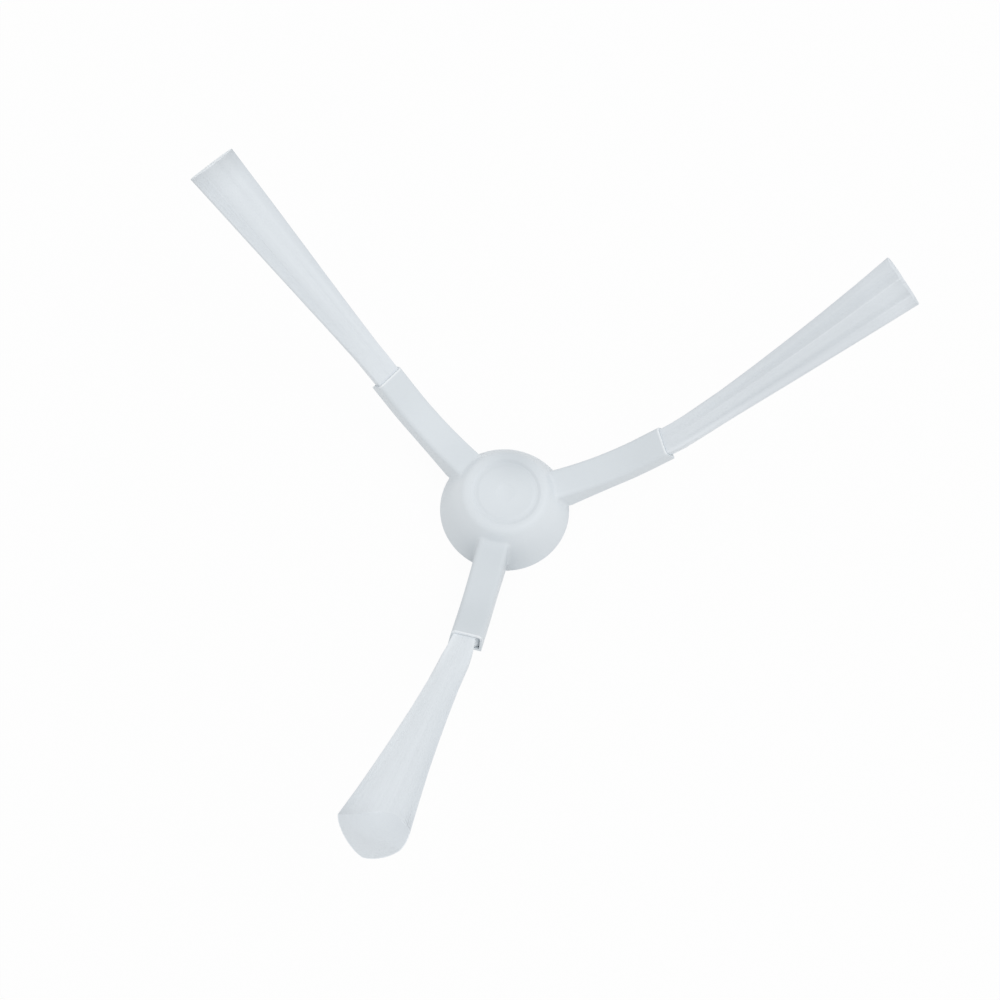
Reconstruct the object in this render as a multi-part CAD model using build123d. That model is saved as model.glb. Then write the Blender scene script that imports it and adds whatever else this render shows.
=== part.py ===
from build123d import *
from math import acos, atan2, copysign, cos, degrees, hypot, pi, radians, sin, tan
import os

# Side brush of a robot vacuum: a moulded hub with three rising arms, and a tuft of bristles in each arm's sleeve.
# Millimetres and degrees. The origin is the middle of the hub's rim plane, and +Z points out through the dome.

# Domed hub, outside
ARM_COUNT = 3
HUB_RADIUS = 12.0            # widest circle, at the rim
HUB_HEIGHT = 9.6             # rim plane to crest
CREST_INSET = 4.4            # rim's circle to the crest's, where side and top would meet without the round
CREST_ROUND = 1.1            # how far from that meeting the round begins, on the side and on the top
DOME_BULGE = 0.2             # how far the side swells past a straight cone
RIM_CHAMFER = 0.3
GROOVE_INSET = 2.0           # crest's circle to the middle of the ring groove in the top
GROOVE_WIDTH = 1.4           # across its mouth
GROOVE_FLOOR = 0.4           # across its floor, so both walls are drafted
GROOVE_DEPTH = 0.28
DISC_DROP = 0.15             # the disc inside the groove lies this much below the crest
DIMPLE_RADIUS = 1.8          # gate dimple in the middle of the disc
DIMPLE_DEPTH = 0.2

# Cored underside with the drive socket
SHELL_WALL = 1.6             # measured level with the rim
TOP_WALL = 2.2
BOSS_WALL = 1.8
PILOT_RADIUS = 3.8           # round mouth of the drive socket
PILOT_DEPTH = 2.0
DRIVE_ACROSS_FLATS = 5.0     # square part of the drive socket
DRIVE_DEPTH = 4.6
DRIVE_CORNER_ROUND = 0.4
RIB_COUNT = 6
RIB_THICKNESS = 1.2
RIB_SETBACK = 1.5            # ribs start this far above the rim

# Arms
ARM_DROP = 2.6               # level stretch of the top face, below the crest
ARM_BEND_INSET = 2.0         # rim's circle to where the top face begins to curve up
ARM_BEND_RADIUS = 26.0
ARM_SLOPE = 35.0             # rise of the straight sleeve
SLEEVE_LENGTH = 5.0
ARM_THICKNESS = 3.1
ARM_TOP_WIDTH = 5.5
ARM_DRAFT = 4.0              # each side leans out towards the underside
ARM_EDGE_ROUND = 0.8
ARM_FOOT_HEIGHT = 2.0        # where the web under the arm meets the rim's circle
ROOT_ROUND = 0.9
SLEEVE_WALL = 0.4
SOCKET_DEPTH = 4.5

# Bristle tufts, one for each arm, in the arms' order where a size differs
TUFT_CLEARANCE = 0.1         # tuft to each wall of its sleeve
TUFT_SLACK = (0.0, 0.0, 0.8)            # extra room left at one side wall of the sleeve
TUFT_LENGTH = (51.8, 49.8, 50.6)        # free length past the sleeve
TUFT_TURN_LENGTH = 6.0       # the bristles take up their sway and neck width over this stretch
TUFT_SWAY = (7.7, 1.4, -6.5)            # sideways lean past the turn
TUFT_CURL = (4.0, 0.0, 0.0)             # further lean gained up to the tip
TUFT_NECK_WIDTH = 5.1        # at the end of the turn
TUFT_TIP_WIDTH = (9.9, 9.2, 11.6)
TUFT_TIP_ABOVE = (1.3, 1.3, 1.3)        # tip section above the middle line
TUFT_TIP_BELOW = (1.3, 1.3, 6.0)        # tip section below the middle line
TUFT_TIP_SKEW = (0.0, 0.0, -0.3)        # deepest point of the tip section, as a share of the half width
TUFT_FLARE = (1.4, 1.0, 1.6)            # 1 widens evenly, larger widens more towards the tip
TUFT_SQUARENESS = (3.0, 3.0, 1.9)       # exponent of the tip section: 2 is an ellipse, larger is squarer
TUFT_FLUTES = 12             # locks of bristles that show as ridges round a tuft
TUFT_FLUTE_DEPTH = 0.06      # share of the half section that lies between two ridges
TUFT_STATIONS = 4            # sections from the end of the turn to the tip

SKETCH_MARGIN = 2.0          # how far cutting sketches pass the material they trim

CREST_RADIUS = HUB_RADIUS - CREST_INSET
GROOVE_RADIUS = CREST_RADIUS - GROOVE_INSET
ARM_TOP_HEIGHT = HUB_HEIGHT - ARM_DROP
ARM_BEND_START = HUB_RADIUS - ARM_BEND_INSET


def dome_radius(height):
    # Radius of the straight cone through rim and crest at a height
    return HUB_RADIUS - (HUB_RADIUS - CREST_RADIUS) * height / HUB_HEIGHT


def make_dome():
    # Half section turned about Z: rim, swelling side, rounded crest, ring groove, disc and dimple
    disc_height = HUB_HEIGHT - DISC_DROP
    rim = (HUB_RADIUS, 0)
    crest = (CREST_RADIUS, HUB_HEIGHT)
    top_edge = (CREST_RADIUS - CREST_ROUND, HUB_HEIGHT)
    groove_outer = (GROOVE_RADIUS + GROOVE_WIDTH / 2, HUB_HEIGHT)
    groove_floor_outer = (GROOVE_RADIUS + GROOVE_FLOOR / 2, HUB_HEIGHT - GROOVE_DEPTH)
    groove_floor_inner = (GROOVE_RADIUS - GROOVE_FLOOR / 2, HUB_HEIGHT - GROOVE_DEPTH)
    groove_inner = (GROOVE_RADIUS - GROOVE_WIDTH / 2, disc_height)
    dimple_edge = (DIMPLE_RADIUS, disc_height)
    dimple_floor = (0, disc_height - DIMPLE_DEPTH)
    full_side = SagittaArc(rim, crest, -DOME_BULGE)
    side = full_side.trim(0, 1 - CREST_ROUND / full_side.length)
    outline = [
        Line((0, 0), rim),
        side,
        Bezier(side @ 1, crest, top_edge),
        Polyline(top_edge, groove_outer, groove_floor_outer, groove_floor_inner, groove_inner, dimple_edge),
        TangentArc(dimple_floor, dimple_edge, tangent=(1, 0)),
        Line(dimple_floor, (0, 0)),
    ]
    profile = make_face(Curve() + outline)
    profile = chamfer(profile.vertices().sort_by_distance((*rim, 0))[0], RIM_CHAMFER)
    between_arms = Rot(0, 0, 180 / ARM_COUNT)
    return between_arms * revolve(Plane.XZ * profile, Axis.Z)


def make_core():
    # Hollow under the dome, less the boss and the ribs that stay standing in it
    ceiling = HUB_HEIGHT - TOP_WALL
    corners = [
        (0, -SKETCH_MARGIN),
        (dome_radius(-SKETCH_MARGIN) - SHELL_WALL, -SKETCH_MARGIN),
        (dome_radius(ceiling) - SHELL_WALL, ceiling),
        (0, ceiling),
    ]
    hollow = revolve(Plane.XZ * make_face(Polyline(*corners, close=True)), Axis.Z)
    boss = extrude(Circle(PILOT_RADIUS + BOSS_WALL), ceiling)
    rib_height = ceiling - RIB_SETBACK
    rib = Pos(0, 0, RIB_SETBACK) * Box(
        HUB_RADIUS, RIB_THICKNESS, rib_height, align=(Align.MIN, Align.CENTER, Align.MIN)
    )
    ribs = [place * rib for place in PolarLocations(0, RIB_COUNT)]
    return hollow - boss - ribs


def make_drive_socket():
    # Round pilot at the mouth, then the square that the shaft turns
    pilot = extrude(Circle(PILOT_RADIUS), PILOT_DEPTH)
    square = RectangleRounded(DRIVE_ACROSS_FLATS, DRIVE_ACROSS_FLATS, DRIVE_CORNER_ROUND)
    return pilot + extrude(square, PILOT_DEPTH + DRIVE_DEPTH)


def bend_point(turn, depth):
    # Point of the bend after a turn in degrees, at a depth under the top face, as radius and height
    reach = ARM_BEND_RADIUS + depth
    centre_height = ARM_TOP_HEIGHT + ARM_BEND_RADIUS
    return (ARM_BEND_START + reach * sin(radians(turn)), centre_height - reach * cos(radians(turn)))


def sleeve_point(along, depth):
    # Point along the straight sleeve, at a depth under the top face, as radius and height
    radius, height = bend_point(ARM_SLOPE, depth)
    return (radius + along * cos(radians(ARM_SLOPE)), height + along * sin(radians(ARM_SLOPE)))


def arm_section(depth):
    # Drafted section hung under the top face, with its two upper edges rounded
    top = ARM_TOP_WIDTH / 2
    bottom = top + depth * tan(radians(ARM_DRAFT))
    section = make_face(Polyline((-top, 0), (top, 0), (bottom, -depth), (-bottom, -depth), close=True))
    return fillet(section.vertices().group_by(Axis.Y)[-1], ARM_EDGE_ROUND)


def arm_side():
    # Side view of the space above the underside: the even arm, and the web that runs down to the rim
    high = sleeve_point(SLEEVE_LENGTH, 0)[1] + SKETCH_MARGIN
    end = sleeve_point(SLEEVE_LENGTH + SKETCH_MARGIN, ARM_THICKNESS)
    under_bend = ThreePointArc(
        bend_point(0, ARM_THICKNESS), bend_point(ARM_SLOPE / 2, ARM_THICKNESS), bend_point(ARM_SLOPE, ARM_THICKNESS)
    )
    under = [
        Line((0, under_bend.start_point().Y), under_bend @ 0),
        under_bend,
        Line(under_bend @ 1, end),
        Line(end, (end[0], high)),
        Line((end[0], high), (0, high)),
        Line((0, high), (0, under_bend.start_point().Y)),
    ]
    drop = ARM_TOP_HEIGHT + ARM_BEND_RADIUS - ARM_FOOT_HEIGHT
    overhang = HUB_RADIUS - ARM_BEND_START
    touch = degrees(atan2(overhang, drop) + acos((ARM_BEND_RADIUS + ARM_THICKNESS) / hypot(overhang, drop)))
    web_end = bend_point(min(touch, ARM_SLOPE), ARM_THICKNESS)
    web = Polyline(
        (0, ARM_FOOT_HEIGHT), (HUB_RADIUS, ARM_FOOT_HEIGHT), web_end, (web_end[0], high), (0, high), close=True
    )
    return make_face(Curve() + under) + make_face(web)


def make_arm():
    # The drafted section follows the top face: level, curving up, then straight
    rise = bend_point(ARM_SLOPE / 2, 0)
    top_line = Curve() + [
        Line((0, ARM_TOP_HEIGHT), bend_point(0, 0)),
        ThreePointArc(bend_point(0, 0), rise, bend_point(ARM_SLOPE, 0)),
        Line(bend_point(ARM_SLOPE, 0), sleeve_point(SLEEVE_LENGTH, 0)),
    ]
    start = Plane(origin=(0, 0, ARM_TOP_HEIGHT), x_dir=(0, 1, 0), z_dir=(1, 0, 0))
    beam = sweep(start * arm_section(ARM_TOP_HEIGHT - ARM_FOOT_HEIGHT / 2), path=Plane.XZ * top_line)
    return beam & extrude(Plane.XZ * arm_side(), HUB_RADIUS, both=True)


def sleeve_plane(along):
    # Plane across the sleeve: X across the arm, Y up from the underside, Z outwards, level with the top face
    radius, height = sleeve_point(along, 0)
    outwards = (cos(radians(ARM_SLOPE)), 0, sin(radians(ARM_SLOPE)))
    return Plane(origin=(radius, 0, height), x_dir=(0, 1, 0), z_dir=outwards)


def make_socket():
    # Pocket for the bristles, inside the sleeve's walls
    opening = offset(arm_section(ARM_THICKNESS), -SLEEVE_WALL)
    return extrude(sleeve_plane(SLEEVE_LENGTH + SKETCH_MARGIN) * opening, -SOCKET_DEPTH - SKETCH_MARGIN)


def make_hub():
    dome = make_dome()
    arms = [place * make_arm() for place in PolarLocations(0, ARM_COUNT)]
    body = dome + arms
    seams = new_edges(dome, *arms, combined=body)
    body = fillet(seams - seams.group_by(Axis.Z)[0], ROOT_ROUND)
    sockets = [place * make_socket() for place in PolarLocations(0, ARM_COUNT)]
    return body - make_core() - make_drive_socket() - sockets


def tuft_section(half_width, above, below, squareness, skew):
    # Squared ellipse whose points lie in turn on a ridge and in the flute beside it. A skew moves the deepest point
    # to one side, and the lower half is straighter on that side
    points = []
    for step in range(2 * TUFT_FLUTES):
        angle = pi * step / TUFT_FLUTES
        share = 1 - TUFT_FLUTE_DEPTH * (step % 2)
        is_lower = step > TUFT_FLUTES
        is_straighter = is_lower and skew * cos(angle) > 0
        power = 2 / (squareness * (1 - abs(skew)) if is_straighter else squareness)
        across = copysign(abs(cos(angle)) ** power, cos(angle))
        up = (below if is_lower else above) * copysign(abs(sin(angle)) ** power, sin(angle))
        shift = skew * (1 - abs(across)) if is_lower else 0
        points.append((share * half_width * (across + shift), share * up))
    return make_face(Polyline(*points, close=True))


def make_tuft(index):
    # Ruled loft: socket floor, sleeve mouth, end of the turn, then stations that widen to the cut tips
    length = TUFT_LENGTH[index]
    squareness = TUFT_SQUARENESS[index]
    slope = radians(ARM_SLOPE)
    middle_width = ARM_TOP_WIDTH / 2 + ARM_THICKNESS / 2 * tan(radians(ARM_DRAFT))
    room = middle_width - SLEEVE_WALL / cos(radians(ARM_DRAFT)) - TUFT_CLEARANCE
    root_width = room - TUFT_SLACK[index] / 2
    root_thickness = ARM_THICKNESS / 2 - SLEEVE_WALL - TUFT_CLEARANCE
    root = tuft_section(root_width, root_thickness, root_thickness, squareness, 0)
    seat = Pos(-TUFT_SLACK[index] / 2, -ARM_THICKNESS / 2)
    floor = sleeve_plane(SLEEVE_LENGTH - SOCKET_DEPTH) * seat
    mouth = sleeve_plane(SLEEVE_LENGTH) * seat

    def lean(sway):
        # Direction of the bristles at a sideways lean
        return Vector(cos(slope) * cos(radians(sway)), cos(slope) * sin(radians(sway)), sin(slope))

    def station(share):
        # Section across the bristles at a share of the way from the end of the turn to the tip
        spread = share ** TUFT_FLARE[index]
        half_width = (TUFT_NECK_WIDTH + spread * (TUFT_TIP_WIDTH[index] - TUFT_NECK_WIDTH)) / 2
        above = root_thickness + spread * (TUFT_TIP_ABOVE[index] - root_thickness)
        below = root_thickness + spread * (TUFT_TIP_BELOW[index] - root_thickness)
        turned = mouth.position + lean(TUFT_SWAY[index] / 2) * TUFT_TURN_LENGTH
        sway = TUFT_SWAY[index] + share * TUFT_CURL[index]
        chord = lean((TUFT_SWAY[index] + sway) / 2)
        origin = turned + chord * share * (length - TUFT_TURN_LENGTH)
        across = Vector(-sin(radians(sway)), cos(radians(sway)), 0)
        section = tuft_section(half_width, above, below, squareness, spread * TUFT_TIP_SKEW[index])
        return Plane(origin, across, lean(sway)) * section

    widening = [station(step / (TUFT_STATIONS - 1)) for step in range(TUFT_STATIONS)]
    return loft([floor * root, mouth * root, *widening], ruled=True)


os.makedirs("parts", exist_ok=True)
export_step(make_hub(), "parts/hub_with_arms.step")
for index, place in enumerate(PolarLocations(0, ARM_COUNT)):
    export_step(place * make_tuft(index), f"parts/bristle_tuft_{index + 1}.step")
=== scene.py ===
import bpy
import numpy as np
from mathutils import Matrix, Vector


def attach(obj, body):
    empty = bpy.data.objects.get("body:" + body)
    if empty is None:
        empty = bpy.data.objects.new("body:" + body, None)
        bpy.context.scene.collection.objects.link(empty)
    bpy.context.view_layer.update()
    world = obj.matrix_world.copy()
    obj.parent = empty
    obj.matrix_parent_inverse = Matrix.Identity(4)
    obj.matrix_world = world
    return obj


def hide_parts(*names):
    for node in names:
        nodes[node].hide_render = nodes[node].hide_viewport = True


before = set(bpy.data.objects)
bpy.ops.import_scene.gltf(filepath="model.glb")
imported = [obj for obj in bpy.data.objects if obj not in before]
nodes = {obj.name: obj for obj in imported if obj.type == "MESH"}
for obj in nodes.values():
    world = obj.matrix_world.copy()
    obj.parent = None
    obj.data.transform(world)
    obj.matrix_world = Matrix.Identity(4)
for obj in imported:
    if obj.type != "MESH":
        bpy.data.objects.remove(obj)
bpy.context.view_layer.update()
scene = bpy.context.scene
scene.view_settings.view_transform = "Standard"
mm = 0.001
fullTurn = 2.0 * np.pi
plainWhite = (1.0, 1.0, 1.0, 1.0)
print("frame loaded:", ", ".join(sorted(nodes)))

cameraSet = {
    "azimuth": -20.0,      # degrees round the hub's axis
    "elevation": 70.08,    # degrees above the floor
    "roll": -3.909,        # degrees about the line of sight
    "distance": 0.400,     # metres from the middle of the rim plane
    "lens": 78.12,         # millimetres
    "sensor": 36.0,        # millimetres
    "shift": (-0.00462, 0.00991),
    "clip": (0.01, 20.0),  # metres, nearest and farthest
}


# a point on a sphere round the origin looks back at it, then turns about its line of sight by the roll
def aimCamera(want):
    azimuth, elevation, roll = np.radians([want["azimuth"], want["elevation"], want["roll"]])
    right = np.array([np.cos(azimuth), np.sin(azimuth), 0.0])
    flat = np.array([np.sin(azimuth), -np.cos(azimuth), 0.0])
    back = flat * np.cos(elevation) + np.array([0.0, 0.0, np.sin(elevation)])
    up = np.cross(back, right)
    axes = np.eye(4)
    axes[:3, 0] = np.cos(roll) * right - np.sin(roll) * up
    axes[:3, 1] = np.sin(roll) * right + np.cos(roll) * up
    axes[:3, 2] = back
    axes[:3, 3] = back * want["distance"]
    data = bpy.data.cameras.new("brushCamera")
    data.lens = want["lens"]
    data.sensor_width = want["sensor"]
    data.shift_x, data.shift_y = want["shift"]
    data.clip_start, data.clip_end = want["clip"]
    camera = bpy.data.objects.new("brushCamera", data)
    camera.matrix_world = Matrix(axes.tolist())
    scene.collection.objects.link(camera)
    scene.camera = camera


aimCamera(cameraSet)
print("camera aimed from", cameraSet["azimuth"], "by", cameraSet["elevation"])


# a socket with arithmetic on it: each operator adds one Math node, and make() adds any other node
class Wire:
    def __init__(self, tree, socket=None):
        self.tree = tree
        self.socket = socket

    # settings come first, then values or links by socket name or number; out picks the output handed back
    def make(self, kind, settings=None, sockets=None, out=0):
        node = self.tree.nodes.new(kind)
        for key, value in (settings or {}).items():
            setattr(node, key, value)
        for key, value in (sockets or {}).items():
            if isinstance(value, Wire):
                self.tree.links.new(value.socket, node.inputs[key])
            else:
                node.inputs[key].default_value = value
        return Wire(self.tree, node.outputs[out] if len(node.outputs) else None)

    # one Math node on the values
    def math(self, operation, *values):
        return self.make("ShaderNodeMath", {"operation": operation}, dict(enumerate(values)))

    # a colour, share of the way from the first to the second
    def blend(self, share, first, second):
        return self.make("ShaderNodeMix", {"data_type": "RGBA"}, {0: share, 6: first, 7: second}, 2)

    # x, y or z of a vector, by number
    def axis(self, which):
        return self.make("ShaderNodeSeparateXYZ", None, {0: self}, which)

    # held between 0 and 1
    def clamped(self):
        return self.make("ShaderNodeClamp", None, {0: self})

    def __add__(self, other):
        return self.math("ADD", self, other)

    def __radd__(self, other):
        return self.math("ADD", other, self)

    def __sub__(self, other):
        return self.math("SUBTRACT", self, other)

    def __rsub__(self, other):
        return self.math("SUBTRACT", other, self)

    def __mul__(self, other):
        return self.math("MULTIPLY", self, other)

    def __rmul__(self, other):
        return self.math("MULTIPLY", other, self)

    def __truediv__(self, other):
        return self.math("DIVIDE", self, other)

    def __rtruediv__(self, other):
        return self.math("DIVIDE", other, self)

    def __pow__(self, other):
        return self.math("POWER", self, other)

    def __rpow__(self, other):
        return self.math("POWER", other, self)


# an empty node material, and the wire that fills it
def newMaterial(name):
    material = bpy.data.materials.new(name)
    material.use_nodes = True
    material.node_tree.nodes.clear()
    return material, Wire(material.node_tree)


sleeveSet = {                  # the first arm's sleeve, in millimetres and degrees
    "armTurns": (0.0, 120.0, 240.0),    # bearings of the three arms
    "bendStart": 10.0,
    "bendTop": 7.0,
    "bendRadius": 26.0,
    "slope": 35.0,             # rise of the straight sleeve
    "length": 5.0,
    "halfThickness": 1.55,
    "rootHalfWidth": 2.43,     # half sizes of a tuft inside the sleeve
    "rootHalfThickness": 1.12,
    "socketDepth": 4.4,
    "fill": 0.6,               # a slack tuft fills its sleeve up to this far short of the mouth
    "square": 9.0,             # the root fills the sleeve's corners
    "turn": 6.0,               # the strands take up their sway over this stretch past the mouth,
    "rounding": 9.0,           # their section its own corners over this one
    "ridging": 12.0,           # and its ridges over this one
}


# top of the first arm's mouth, out from the axis and up from the rim plane: along the bend's arc by the slope, then
# straight on by the sleeve's length
def mouthTop():
    slope, radius, length = np.radians(sleeveSet["slope"]), sleeveSet["bendRadius"], sleeveSet["length"]
    out = sleeveSet["bendStart"] + radius * np.sin(slope) + length * np.cos(slope)
    return out, sleeveSet["bendTop"] + radius * (1.0 - np.cos(slope)) + length * np.sin(slope)


plasticSet = {
    "pale": (0.78, 0.827, 0.863, 1.0),
    "deep": (0.60, 0.647, 0.683, 1.0),
    "share": 0.633,            # plain share of the way from deep to pale
    "cloud": (95.0, 3.0),      # scale per metre and detail: soft mottling about 10 mm across
    "cloudShare": 0.2,
    "grain": (5200.0, 2.0),    # scale per metre and detail: the mould's fine grain, about 0.2 mm
    "grainShare": 0.04,
    "grainHeight": 0.000008,   # metres
    "shoulder": (0.0082, 0.0016, 0.26),                # painted highlight, a paler ring: radius and half width in metres, and share
    "paintedLightSpots": (                 # spots, paler or greyer, most of them painted light and shade: middle and half width in metres, and share
        ((0.0, 0.0, 0.0094), 0.005, 0.2),              # paler round the gate
        ((-0.0125, -0.0217, 0.012), 0.009, -0.3),      # painted shade on the third sleeve
        ((-0.0052, -0.0105, 0.0005), 0.0065, -0.55),   # and on its arm's foot
        ((0.0042, 0.0068, 0.0085), 0.005, -0.65),      # painted shade on the far side of the shoulder
        ((-0.008, 0.0042, 0.0072), 0.0038, 0.18),      # painted light on the left side of it
        ((0.0089, -0.0045, 0.004), 0.004, 0.22),       # painted light on the side of the dome
    ),
    "lipWidth": 0.00035,       # metres of painted highlight, a paler edge on top of a sleeve's mouth
    "lipDepth": 0.0008,        # metres down the mouth's face over which that fades
    # colour of that painted highlight
    "lipHighlight": (0.93, 0.96, 0.985, 1.0),
    "roughness": 0.42,
    "roughSpread": 0.16,       # rougher and smoother by the mottling
    "ior": 1.5,
}


# how far a point lies past the sleeves' mouths and above their tops: the farthest of its three reaches along the arms
# less the mouth's, and its height less the mouth's, both turned by the slope
def fromMouth(place):
    x, y, z = place.axis(0), place.axis(1), place.axis(2)
    reaches = [x * np.cos(turn) + y * np.sin(turn) for turn in np.radians(sleeveSet["armTurns"])]
    reach = reaches[0].math("MAXIMUM", reaches[0], reaches[1])
    reach = reach.math("MAXIMUM", reach, reaches[2])
    slope = np.radians(sleeveSet["slope"])
    mouthOut, mouthUp = mouthTop()
    out, up = reach - mouthOut * mm, z - mouthUp * mm
    return out * np.cos(slope) + up * np.sin(slope), up * np.cos(slope) - out * np.sin(slope)


# noise about zero: the node's own less a half
def evenNoise(place, scale, detail):
    return place.make("ShaderNodeTexNoise", None, {"Vector": place, "Scale": scale, "Detail": detail}) - 0.5


# soft spot: exp(-(distance / half)^2)
def softSpot(distance, half):
    far = distance / half
    return far.math("EXPONENT", -1.0 * far * far)


# satin moulded plastic: base colour = deep to pale by cloud and grain, by spots of their own shares, most of them
# painted light and shade, and by a painted highlight ring on the shoulder, then on to a painted highlight on the
# sleeves' lips; roughness by the cloud; bump = fine grain
def satinPlastic(want):
    material, wire = newMaterial("satinPlastic")
    place = wire.make("ShaderNodeTexCoord", None, None, "Object")
    cloud, grain = evenNoise(place, *want["cloud"]), evenNoise(place, *want["grain"])
    share = want["share"] + want["cloudShare"] * cloud + want["grainShare"] * grain
    # spots of painted light and shade, and the paler spot round the gate
    for middle, half, lightShare in want["paintedLightSpots"]:
        distance = wire.make("ShaderNodeVectorMath", {"operation": "DISTANCE"}, {0: place, 1: middle}, "Value")
        share = share + lightShare * softSpot(distance, half)
    # painted highlight: a paler ring round the shoulder
    radius, half, lightShare = want["shoulder"]
    reach = (place.axis(0) ** 2.0 + place.axis(1) ** 2.0) ** 0.5
    share = (share + lightShare * softSpot(reach - radius, half)).clamped()
    past, rise = fromMouth(place)
    # painted highlight on the top edge of each sleeve's mouth
    lipGlint = (1.0 + past / want["lipWidth"]).clamped() * (1.0 + rise / want["lipDepth"]).clamped()
    bump = wire.make("ShaderNodeBump", None, {"Distance": want["grainHeight"], "Height": grain})
    shader = wire.make("ShaderNodeBsdfPrincipled", None, {
        "Base Color": wire.blend(lipGlint, wire.blend(share, want["deep"], want["pale"]), want["lipHighlight"]),
        "Roughness": want["roughness"] + want["roughSpread"] * cloud,
        "IOR": want["ior"],
        "Normal": bump,
    })
    wire.make("ShaderNodeOutputMaterial", None, {"Surface": shader})
    return material


nylonSet = {
    "pale": (0.92, 0.965, 1.0, 1.0),
    "deep": (0.68, 0.725, 0.765, 1.0),
    "share": 0.55,             # plain share of the way from deep to pale
    "fleckAlong": 3.0,         # flecks along a strand
    "streaks": 260.0,          # streaks round the bundle
    "fleckDetail": 2.0,
    "fleckShare": 0.22,        # how much of the range from deep to pale the flecks take
    "lockShare": 0.5,          # and the painted shading of the locks and the cut face
    "roughness": 0.43,
    "roughSpread": 0.14,       # rougher and smoother by the flecks
    "ior": 1.53,
}


# drawn nylon: base colour = deep to pale by flecks along each strand, by the painted shading of the lock that the
# strand lies in and of the cut face, and by the tone underneath
def drawnNylon(want):
    material, wire = newMaterial("drawnNylon")
    strand = wire.make("ShaderNodeUVMap", {"uv_map": "strand"})
    along, around = strand.axis(0) * want["fleckAlong"], strand.axis(1) * want["streaks"]
    spot = wire.make("ShaderNodeCombineXYZ", None, {0: along, 1: around})
    fleck = evenNoise(spot, 1.0, want["fleckDetail"])
    lock = wire.make("ShaderNodeAttribute", {"attribute_name": "lock"}, None, "Fac")
    share = (want["share"] + want["fleckShare"] * fleck + want["lockShare"] * lock).clamped()
    shader = wire.make("ShaderNodeBsdfPrincipled", None, {
        "Base Color": wire.blend(share, want["deep"], want["pale"]),
        "Roughness": want["roughness"] + want["roughSpread"] * fleck,
        "IOR": want["ior"],
    })
    wire.make("ShaderNodeOutputMaterial", None, {"Surface": shader})
    return material


hubPlastic = satinPlastic(plasticSet)
tuftNylon = drawnNylon(nylonSet)
nodes["hub_with_arms"].material_slots[0].material = hubPlastic
print("materials made:", hubPlastic.name, tuftNylon.name)

strandSet = {                  # lengths in millimetres
    "radius": 0.085,
    "sides": 6,
    "pitch": 0.14,             # between strands round the tip
    "nudge": 0.3,              # share of the pitch by which a strand is off its even place
    "bury": 0.072,             # how much of a strand's radius the bundle hides
    "uneven": 0.008,           # strands lie higher and lower,
    "unevenSpan": (-0.3, 1.0),     # by these shares of it
    "wander": 0.03,            # each strand's own drift,
    "waves": (0.5, 1.6),       # with as many waves along the strand,
    "wanderIn": 1.0 / 3.0,     # come in over this share of the length
    "turnRings": 2,            # steps along a strand from the mouth to where it is turned
    "freeRings": 6,            # and from there to its cut end
    "lockIn": 0.3,             # share of the length over which a lock's painted shade comes in
    "roundIn": 1.7,            # half widths over which the cut's round comes in
    "cutJitter": 0.025,        # uneven cut at the tip
    "endPitch": 0.14,          # between strand ends in the cut face
    "endRow": 0.866,           # share of that between their rows
    "endNudge": 0.2,           # and by which an end is off its even place
    "endRise": 1.2,            # rows reach this share of the tip's height, for the ridges
    "endLength": 1.2,          # of the inner strands that are modelled
    "endProud": 0.03,          # by which strand ends stand out of the bundle
    "endInset": 0.19,          # that they keep from the bundle's skin
    "coreSides": 120,
    "capRings": 12,            # rings that close the bundle's own end, following the cut
    "capScale": (0.96, 0.02),  # size of the first and last of them
    "sweepSteps": 4001,        # points on an outline for even spacing
    "edgeSteps": 401,          # and on its upper or lower half
    "lineSpan": (-10.0, 5.0),  # the middle line starts before the mouth and ends past the tip
    "lineSteps": 1400,
    "overrun": 1.1,            # share of the free length that sizes are worked out for
}
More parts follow.
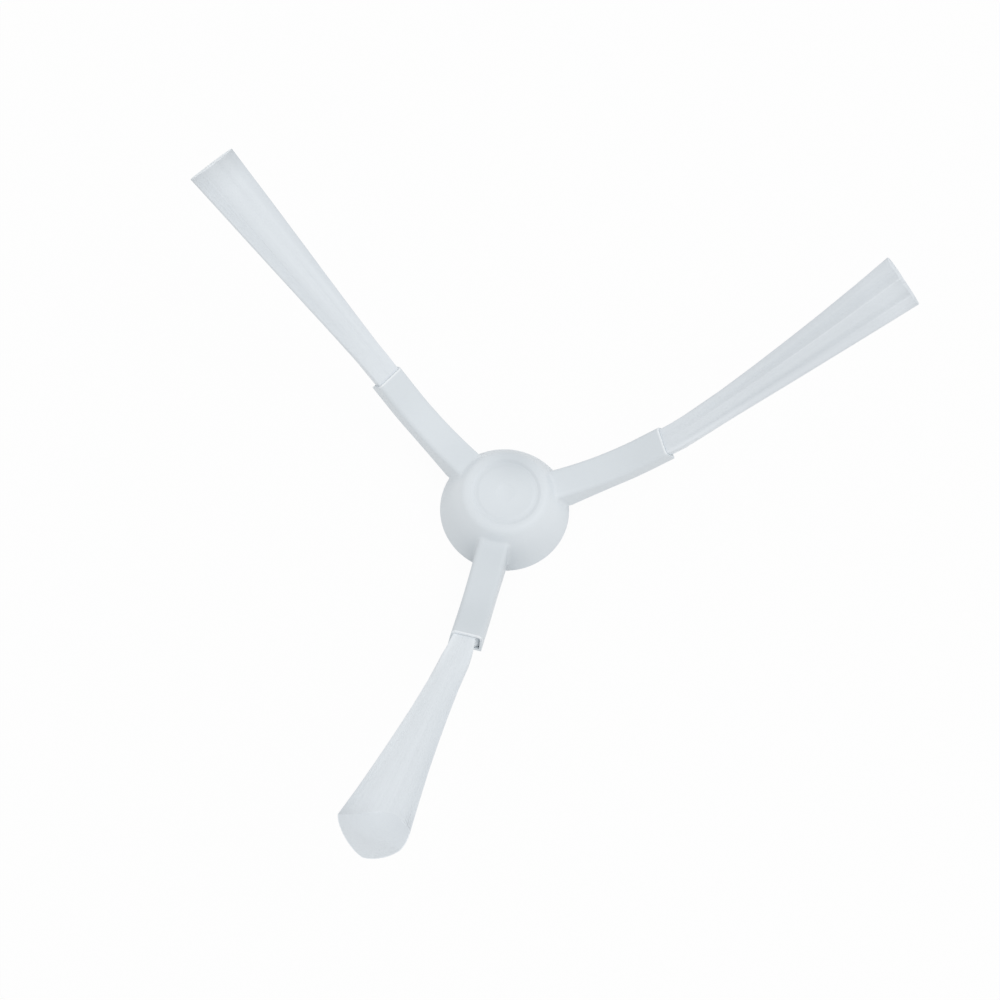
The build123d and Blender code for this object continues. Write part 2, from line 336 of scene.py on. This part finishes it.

# lengths in millimetres and angles in degrees; turn: bearing of the arm; sway: sideways angle past the mouth;
# curl: how much more by the tip; slack: room beside the tuft at the mouth; neck and tip: widths;
# above and below: heights of the tip over and under its middle; skew: how far across the lower half is deepest;
# flare: power of the widening; square: power of the section; belly: tone underneath;
# slant: how much longer one edge of the cut is; round: (how much shorter the cut is on top, how far down that reaches),
# none of it at the other edge; ends: painted shade and light of the cut face, on its round, at its middle and at its
# foot;
# ridges: (place across from -1 to 1, half width, height as a share) on the upper side;
# locks: painted shade and light along the locks (place across, half width, tone, share of the length where it begins)
tuftSets = [
    {"node": "bristle_tuft_1", "turn": 0, "length": 51.8, "sway": 7.7, "curl": 4.0, "slack": 0.0, "neck": 5.1,
     "tip": 9.9, "above": 1.3, "below": 1.3, "skew": 0.0, "flare": 1.4, "square": 3.0, "belly": 0.0, "seed": 31,
     "slant": 0.0, "round": (0.2, 1.3), "ends": (-0.4, -0.4, -0.4),
     "ridges": ((0.32, 0.18, -0.18), (0.03, 0.07, 0.10), (-0.67, 0.08, 0.06), (-0.45, 0.14, -0.12)),
     "locks": ((0.0, 9.0, -0.4, -1.0), (0.0, 9.0, -0.2, 0.15), (0.3, 0.2, -0.16, 0.3), (0.05, 0.03, 0.65, 0.3),
               (-0.5, 0.14, -0.16, 0.2), (-0.9, 0.2, 0.25, -1.0), (-0.9, 0.2, -0.25, 0.2), (-0.67, 0.1, -0.35, -0.1),
               (-0.67, 0.1, 0.35, 0.5), (-0.67, 0.03, 0.65, 0.7))},
    {"node": "bristle_tuft_2", "turn": 120, "length": 49.8, "sway": 1.4, "curl": 0.0, "slack": 0.0, "neck": 5.1,
     "tip": 9.2, "above": 1.3, "below": 1.3, "skew": 0.0, "flare": 1.0, "square": 3.0, "belly": 0.0, "seed": 47,
     "slant": 0.4, "round": (0.2, 1.3), "ends": (0.9, 0.9, 0.9),
     "ridges": ((0.85, 0.5, -0.45), (-0.15, 0.1, -0.06), (-0.45, 0.14, 0.06)),
     "locks": ((0.0, 9.0, -0.4, -1.0), (0.0, 9.0, -0.1, 0.7), (0.6, 0.3, -0.12, 0.1), (-0.15, 0.08, -0.12, 0.5),
               (-0.75, 0.25, -0.33, 0.2), (-1.0, 0.12, -0.4, 0.0))},
    {"node": "bristle_tuft_3", "turn": 240, "length": 50.65, "sway": -6.5, "curl": 0.0, "slack": 0.8, "neck": 5.1,
     "tip": 11.75, "above": 1.3, "below": 6.8, "skew": -0.06, "flare": 1.6, "square": 1.55, "belly": 0.4, "seed": 59,
     "slant": 0.18, "round": (4.4, 3.8), "ends": (-1.3, -0.35, -0.1),
     "ridges": ((0.2, 0.1, -0.06), (-0.35, 0.12, 0.05)),
     "locks": ((0.0, 9.0, -0.25, -1.0), (0.0, 9.0, -0.1, 0.2), (1.0, 0.5, -0.3, 0.0), (-1.0, 0.4, 0.6, -1.0),
               (-1.0, 0.4, -0.55, 0.6), (0.0, 9.0, -0.3, 0.78), (-1.0, 0.4, -0.15, 0.78))},
]


# smooth step from 0 to 1
def eased(share):
    held = np.clip(share, 0.0, 1.0)
    return held * held * (3.0 - 2.0 * held)


# room left beside a tuft in its sleeve: the slack at the mouth, eased to none where the tuft fills the sleeve
def slackAt(tuft, along):
    return tuft["slack"] * eased(1.0 + along / sleeveSet["fill"])


# share of the free length, from 0 at the end of the turn to 1 at the tip and a little over
def freeShare(tuft, along):
    share = (along - sleeveSet["turn"]) / (tuft["length"] - sleeveSet["turn"])
    return np.clip(share, 0.0, strandSet["overrun"])


# section sizes: the root's inside the sleeve, eased to the neck over the turn, then neck + (tip - neck) * share^flare
def tuftSizes(tuft, along):
    root = sleeveSet["rootHalfWidth"] - slackAt(tuft, along) / 2.0
    thick = sleeveSet["rootHalfThickness"]
    share = freeShare(tuft, along) ** tuft["flare"]
    width = root + (tuft["neck"] / 2.0 - root) * eased(along / sleeveSet["turn"])
    width = width + share * (tuft["tip"] - tuft["neck"]) / 2.0
    above, below = thick + share * (tuft["above"] - thick), thick + share * (tuft["below"] - thick)
    return width, above, below, share * tuft["skew"]


# painted shade and light of the locks: the sum of tone * exp(-((place - middle) / half)^2), each eased in from where it
# begins
def lockShading(tuft, along, across):
    share = along / tuft["length"]
    return sum(tone * np.exp(-((across - middle) / half) ** 2) * eased((share - start) / strandSet["lockIn"])
               for middle, half, tone, start in tuft["locks"])


# squared ellipse |x / w|^m + |y / h|^m = 1, pulled in by inset, its upper side raised by the ridges;
# m falls from the sleeve's at the mouth to the tuft's own, and by the skew on the side where the lower half is deepest;
# with it comes the painted shade of the lock there, or the tone underneath
def sectionPoint(tuft, along, bearing, inset):
    width, above, below, skew = tuftSizes(tuft, along)
    lower = np.sin(bearing) < 0.0
    held = 1.0 - eased(along / sleeveSet["rounding"])
    power = tuft["square"] + (sleeveSet["square"] - tuft["square"]) * held
    power = power * np.where(lower & (skew * np.cos(bearing) > 0.0), 1.0 - np.abs(skew), 1.0)
    edge = (np.abs(np.cos(bearing)) ** power + np.abs(np.sin(bearing)) ** power) ** (-1.0 / power)
    across, rise = edge * np.cos(bearing), edge * np.sin(bearing)
    across = across + np.where(lower, skew * (1.0 - np.abs(across)), 0.0)
    relief = sum(high * np.exp(-((across - middle) / half) ** 2) for middle, half, high in tuft["ridges"])
    upper = (above - inset) * (1.0 + relief * eased(along / sleeveSet["ridging"]))
    tone = np.where(lower, tuft["belly"], lockShading(tuft, along, across))
    return across * (width - inset), rise * np.where(lower, below - inset, upper), tone


# middle line past the mouth: the lean keeps the sleeve's slope while its sideways angle eases to the sway and on
# by the curl; a place on it is the running sum of that lean, and a point is moved off it across and above
def carryAlong(tuft, along, sideways, upright):
    slope = np.radians(sleeveSet["slope"])
    before, past = strandSet["lineSpan"]
    fine = np.linspace(before, tuft["length"] + past, strandSet["lineSteps"])
    angle = np.radians(tuft["sway"] * eased(fine / sleeveSet["turn"]) + tuft["curl"] * freeShare(tuft, fine))
    level, rise = np.cos(slope), np.full_like(fine, np.sin(slope))
    lean = np.stack([level * np.cos(angle), level * np.sin(angle), rise])
    run = np.cumsum(lean * (fine[1] - fine[0]), axis=1)
    out, up = mouthTop()
    upward = np.array([-np.sin(slope), 0.0, np.cos(slope)])
    mouth = np.array([out, 0.0, up]) - sleeveSet["halfThickness"] * upward
    along, sideways, upright = np.broadcast_arrays(along, sideways, upright)
    place = [mouth[k] + np.interp(along, fine, run[k] - np.interp(0.0, fine, run[k])) for k in range(3)]
    place[1] = place[1] - slackAt(tuft, along) / 2.0
    turned = np.interp(along, fine, angle)
    x = place[0] - sideways * np.sin(turned) - upright * np.sin(slope) * np.cos(turned)
    y = place[1] + sideways * np.cos(turned) - upright * np.sin(slope) * np.sin(turned)
    z = place[2] + upright * np.cos(slope)
    swing = np.radians(tuft["turn"])
    return np.stack([x * np.cos(swing) - y * np.sin(swing), x * np.sin(swing) + y * np.cos(swing), z], -1) * mm


# place across the tip, from -1 to 1
def acrossTip(tuft, sideways):
    return 2.0 * sideways / tuft["tip"]


# how far a point of the cut lies into its round: 0 where that begins, 1 on top
def roundShare(tuft, upright):
    return np.clip(1.0 + (upright - tuft["above"]) / tuft["round"][1], 0.0, 1.0)


# share of the round's drop across the tuft: eased from none at one edge to all of it
def dropShare(tuft, sideways):
    return eased((1.0 + acrossTip(tuft, sideways)) / strandSet["roundIn"])


# where the cut ends a strand: length + slant * across - drop * round^2
def cutPlace(tuft, sideways, upright):
    drop = tuft["round"][0] * dropShare(tuft, sideways)
    return tuft["length"] + tuft["slant"] * acrossTip(tuft, sideways) - drop * roundShare(tuft, upright) ** 2


# painted shade and light of the cut face: from its middle's down to its foot's, and up to its round's as far as that
# drops
def endShading(tuft, sideways, upright):
    top, middle, foot = tuft["ends"]
    tone = middle + (foot - middle) * np.clip(-upright / tuft["below"], 0.0, 1.0)
    return tone + (top - tone) * roundShare(tuft, upright) * dropShare(tuft, sideways)


# bearings evenly spaced round the tip section by its own length, each nudged by a share of the pitch
def evenBearings(tuft, random):
    sweep = np.linspace(0.0, fullTurn, strandSet["sweepSteps"])
    outline = np.stack(sectionPoint(tuft, tuft["length"], sweep, 0.0)[:2], -1)
    walked = np.concatenate([[0.0], np.cumsum(np.linalg.norm(np.diff(outline, axis=0), axis=1))])
    count = int(walked[-1] / strandSet["pitch"])
    steps = (np.arange(count) + random.uniform(-strandSet["nudge"], strandSet["nudge"], count)) % count
    return np.interp(steps * walked[-1] / count, walked, sweep)


# places of the rings along a strand: the socket's floor, where the fill ends, even steps over the turn, and even
# steps on to the end
def ringPlaces(end):
    turned = sleeveSet["turn"] * np.linspace(0.0, 1.0, strandSet["turnRings"], endpoint=False)
    held = np.append([-sleeveSet["socketDepth"], -sleeveSet["fill"]], turned)
    free = sleeveSet["turn"] + (end - sleeveSet["turn"]) * np.linspace(0.0, 1.0, strandSet["freeRings"] + 1)
    return np.concatenate([np.broadcast_to(held, (len(end), len(held))), free], axis=1)


# one bundle: the section carried along the line as a single tube, short of the cut; further rings shrink by scale to
# close its end, each point of them on the cut
def coreTube(tuft):
    scale = np.linspace(*strandSet["capScale"], strandSet["capRings"])[None, :, None]
    bearing = (np.arange(strandSet["coreSides"]) * fullTurn / strandSet["coreSides"])[None, None, :]
    inset = strandSet["radius"] - strandSet["bury"]
    tip = sectionPoint(tuft, tuft["length"], bearing, inset)
    end = cutPlace(tuft, *tip[:2]) - strandSet["endProud"]
    along = ringPlaces(end.reshape(-1, 1)).T[None]
    wall = sectionPoint(tuft, along, bearing, inset)
    cap = [scale * side for side in tip[:2]]
    along = np.concatenate([along, cutPlace(tuft, *cap) - strandSet["endProud"]], axis=1)
    sideways, upright, lock = [np.concatenate(pair, axis=1) for pair in zip(wall, cap + [endShading(tuft, *cap)])]
    points = carryAlong(tuft, along, sideways, upright)
    return points, along / tuft["length"], bearing / fullTurn, lock, strandSet["capRings"]


# tubes round strand lines: each line's offset plus radius * (cos, sin) round it, the last ring slanted as the cut is
def strandTubes(tuft, random, along, sideways, upright, lock):
    count, sides, radius = len(along), strandSet["sides"], strandSet["radius"]
    turn = np.arange(sides) * fullTurn / sides + random.uniform(0.0, fullTurn, (count, 1, 1))
    across, rise = sideways[..., None] + radius * np.cos(turn), upright[..., None] + radius * np.sin(turn)
    lean = cutPlace(tuft, across, rise) - cutPlace(tuft, sideways, upright)[..., None]
    lean[:, :-1] = 0.0
    points = carryAlong(tuft, along[..., None] + lean, across, rise)
    return points, along[..., None] / tuft["length"], random.uniform(0.0, 1.0, (count, 1, 1)), lock[..., None], 0


# outer strands: each keeps its bearing on the section from the socket's floor to the cut, with a slow drift
def outerStrands(tuft, random):
    bearing = evenBearings(tuft, random)[:, None]
    count = len(bearing)
    tip = sectionPoint(tuft, tuft["length"], bearing, strandSet["radius"])
    along = ringPlaces(cutPlace(tuft, *tip[:2]) + random.uniform(-1.0, 1.0, (count, 1)) * strandSet["cutJitter"])
    inset = strandSet["radius"] + random.uniform(*strandSet["unevenSpan"], (count, 1)) * strandSet["uneven"]
    sideways, upright, lock = sectionPoint(tuft, along, bearing, inset)
    share = np.clip(along / tuft["length"], 0.0, 1.0)
    waves = random.uniform(*strandSet["waves"], (count, 1))
    phase = random.uniform(0.0, 1.0, (count, 1))
    swing = np.sin(fullTurn * (waves * share + phase)) * eased(share / strandSet["wanderIn"])
    return strandTubes(tuft, random, along, sideways + strandSet["wander"] * swing, upright, lock)


# strand ends in the cut: rows of a staggered grid, each end nudged, kept between the section's lower and upper outline;
# a strand draws in from its end as the section does
def cutStrands(tuft, random):
    pitch, half = strandSet["endPitch"], tuft["tip"] / 2.0
    sweep = np.linspace(0.0, np.pi, strandSet["edgeSteps"])
    top = sectionPoint(tuft, tuft["length"], sweep, strandSet["endInset"])
    foot = sectionPoint(tuft, tuft["length"], -sweep, strandSet["endInset"])
    rows = np.arange(-tuft["below"], tuft["above"] * strandSet["endRise"], pitch * strandSet["endRow"])
    sideways, upright = np.meshgrid(np.arange(-half, half, pitch), rows)
    sideways = sideways + 0.5 * pitch * (np.arange(len(rows)) % 2)[:, None]
    nudge = random.uniform(-strandSet["endNudge"], strandSet["endNudge"], (2,) + sideways.shape)
    sideways, upright = np.stack([sideways, upright]) + pitch * nudge
    high = np.interp(sideways, top[0][::-1], top[1][::-1], left=0.0, right=0.0)
    low = np.interp(sideways, foot[0][::-1], foot[1][::-1], left=0.0, right=0.0)
    inside = (upright < high) & (upright > low)
    sideways, upright = sideways[inside][:, None], upright[inside][:, None]
    cut = cutPlace(tuft, sideways, upright) + random.uniform(-1.0, 1.0, sideways.shape) * strandSet["cutJitter"]
    along = cut + np.array([[-strandSet["endLength"], 0.0]])
    # the cut face's painted shade and light, the same on every ring of an end
    tone = endShading(tuft, sideways, upright) + np.zeros_like(along)
    width, above, below, _ = tuftSizes(tuft, along)
    sideways = sideways * width / half
    upright = upright * np.where(upright < 0.0, below / tuft["below"], above / tuft["above"])
    return strandTubes(tuft, random, along, sideways, upright, tone)


# one mesh of closed tubes: walls run round and along each tube, and both ends are closed by one face; the last rings
# that make up a bundle's end are shaded flat
def tubeMesh(name, tubes):
    places, corners, sizes, smooth, uvs, locks = [], [], [], [], [], []
    first = 0
    for points, along, tone, lock, flatRings in tubes:
        count, rings, sides = points.shape[:3]
        index = first + np.arange(count * rings * sides).reshape(count, rings, sides)
        low, high = index[:, :-1], index[:, 1:]
        walls = np.stack([low, np.roll(low, -1, axis=2), np.roll(high, -1, axis=2), high], -1).reshape(-1, 4)
        corners += [walls.ravel(), index[:, -1].ravel(), index[:, 0, ::-1].ravel()]
        sizes += [np.full(len(walls), 4), np.full(2 * count, sides)]
        isWall = np.arange(rings - 1) < rings - 1 - flatRings
        smooth += [np.broadcast_to(isWall[:, None], (count, rings - 1, sides)).ravel(), np.zeros(2 * count, bool)]
        places.append(points.reshape(-1, 3))
        uvs.append(np.stack(np.broadcast_arrays(along, tone, points[..., 0])[:2], -1).reshape(-1, 2))
        locks.append(np.broadcast_to(lock, points.shape[:3]).ravel())
        first += count * rings * sides
    corners, sizes = np.concatenate(corners).astype(np.int32), np.concatenate(sizes)
    mesh = bpy.data.meshes.new(name)
    mesh.vertices.add(first)
    mesh.vertices.foreach_set("co", np.concatenate(places).astype(np.float32).ravel())
    mesh.loops.add(len(corners))
    mesh.loops.foreach_set("vertex_index", corners)
    mesh.polygons.add(len(sizes))
    mesh.polygons.foreach_set("loop_start", np.concatenate([[0], np.cumsum(sizes)[:-1]]).astype(np.int32))
    mesh.polygons.foreach_set("use_smooth", np.concatenate(smooth))
    layer = mesh.uv_layers.new(name="strand")
    layer.data.foreach_set("uv", np.concatenate(uvs)[corners].astype(np.float32).ravel())
    # painted shade and light of the locks and the cut face, with the tone underneath, per point
    shade = mesh.attributes.new("lock", "FLOAT", "POINT")
    shade.data.foreach_set("value", np.concatenate(locks).astype(np.float32))
    mesh.update(calc_edges=True)
    mesh.validate()
    return mesh


for tuft in tuftSets:
    random = np.random.default_rng(tuft["seed"])
    tubes = [coreTube(tuft), outerStrands(tuft, random), cutStrands(tuft, random)]
    name = tuft["node"].replace("bristle_tuft", "nylon_tuft")
    piece = bpy.data.objects.new(name, tubeMesh(name, tubes))
    scene.collection.objects.link(piece)
    piece.data.materials.append(tuftNylon)
    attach(piece, "root")
    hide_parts(tuft["node"])
    print(name, "grown:", len(tubes[1][0]), "strands,", len(tubes[2][0]), "ends,", len(piece.data.polygons), "faces")

studioSet = {
    "world": 0.845,             # share of a full white from all round
    "key": 0.15,                # share from the soft lamp
    "keyFrom": (0.46, -0.195, 0.866),
    "keyDistance": 1.3,         # metres
    "keySize": 0.9,             # metres
    "floorHalf": 6.0,           # metres
    "floorDrop": 0.00002,       # metres below the rim
    "floorWhite": (0.80, 0.80, 0.80, 1.0),
    "glow": 0.95,               # share of plain white that the camera sees on the floor
}


# share of a ray that the camera sees directly, in a mirror or through glass
def seenShare(wire):
    rays = [wire.make("ShaderNodeLightPath", None, None, kind)
            for kind in ("Is Camera Ray", "Is Glossy Ray", "Is Transmission Ray")]
    return (rays[0] + rays[1] + rays[2]).clamped()


# white paper: plain white light mixed over a diffuse sheet, so the sheet keeps a soft shadow
def whitePaper(want):
    material, wire = newMaterial("whitePaper")
    sheet = wire.make("ShaderNodeBsdfDiffuse", None, {"Color": want["floorWhite"]})
    glow = wire.make("ShaderNodeEmission", None, {"Color": plainWhite, "Strength": 1.0})
    mixed = wire.make("ShaderNodeMixShader", None, {0: want["glow"] * seenShare(wire), 1: sheet, 2: glow})
    wire.make("ShaderNodeOutputMaterial", None, {"Surface": mixed})
    return material


# one square sheet just below the rim
def layFloor(want):
    half, low = want["floorHalf"], -want["floorDrop"]
    corners = [(-half, -half, low), (half, -half, low), (half, half, low), (-half, half, low)]
    mesh = bpy.data.meshes.new("paperFloor")
    mesh.from_pydata(corners, [], [(0, 1, 2, 3)])
    floor = bpy.data.objects.new("paperFloor", mesh)
    scene.collection.objects.link(floor)
    floor.data.materials.append(whitePaper(want))


# power that gives a white sheet facing the lamp the wanted share: share * (pi * distance)^2
def hangLamp(want):
    data = bpy.data.lights.new("softKey", "AREA")
    data.shape = "DISK"
    data.size = want["keySize"]
    data.energy = want["key"] * (np.pi * want["keyDistance"]) ** 2
    lamp = bpy.data.objects.new("softKey", data)
    toward = Vector(want["keyFrom"]).normalized()
    lamp.location = toward * want["keyDistance"]
    lamp.rotation_euler = toward.to_track_quat("Z", "Y").to_euler()
    scene.collection.objects.link(lamp)


# plain light from all round, and plain white where it is seen
def lightWorld(want):
    world = bpy.data.worlds.new("studioWorld")
    world.use_nodes = True
    world.node_tree.nodes.clear()
    wire = Wire(world.node_tree)
    plain = wire.make("ShaderNodeBackground", None, {"Color": plainWhite, "Strength": want["world"]})
    white = wire.make("ShaderNodeBackground", None, {"Color": plainWhite, "Strength": 1.0})
    mixed = wire.make("ShaderNodeMixShader", None, {0: seenShare(wire), 1: plain, 2: white})
    wire.make("ShaderNodeOutputWorld", None, {"Surface": mixed})
    scene.world = world


layFloor(studioSet)
hangLamp(studioSet)
lightWorld(studioSet)
print("studio lit: world", studioSet["world"], "key", studioSet["key"])
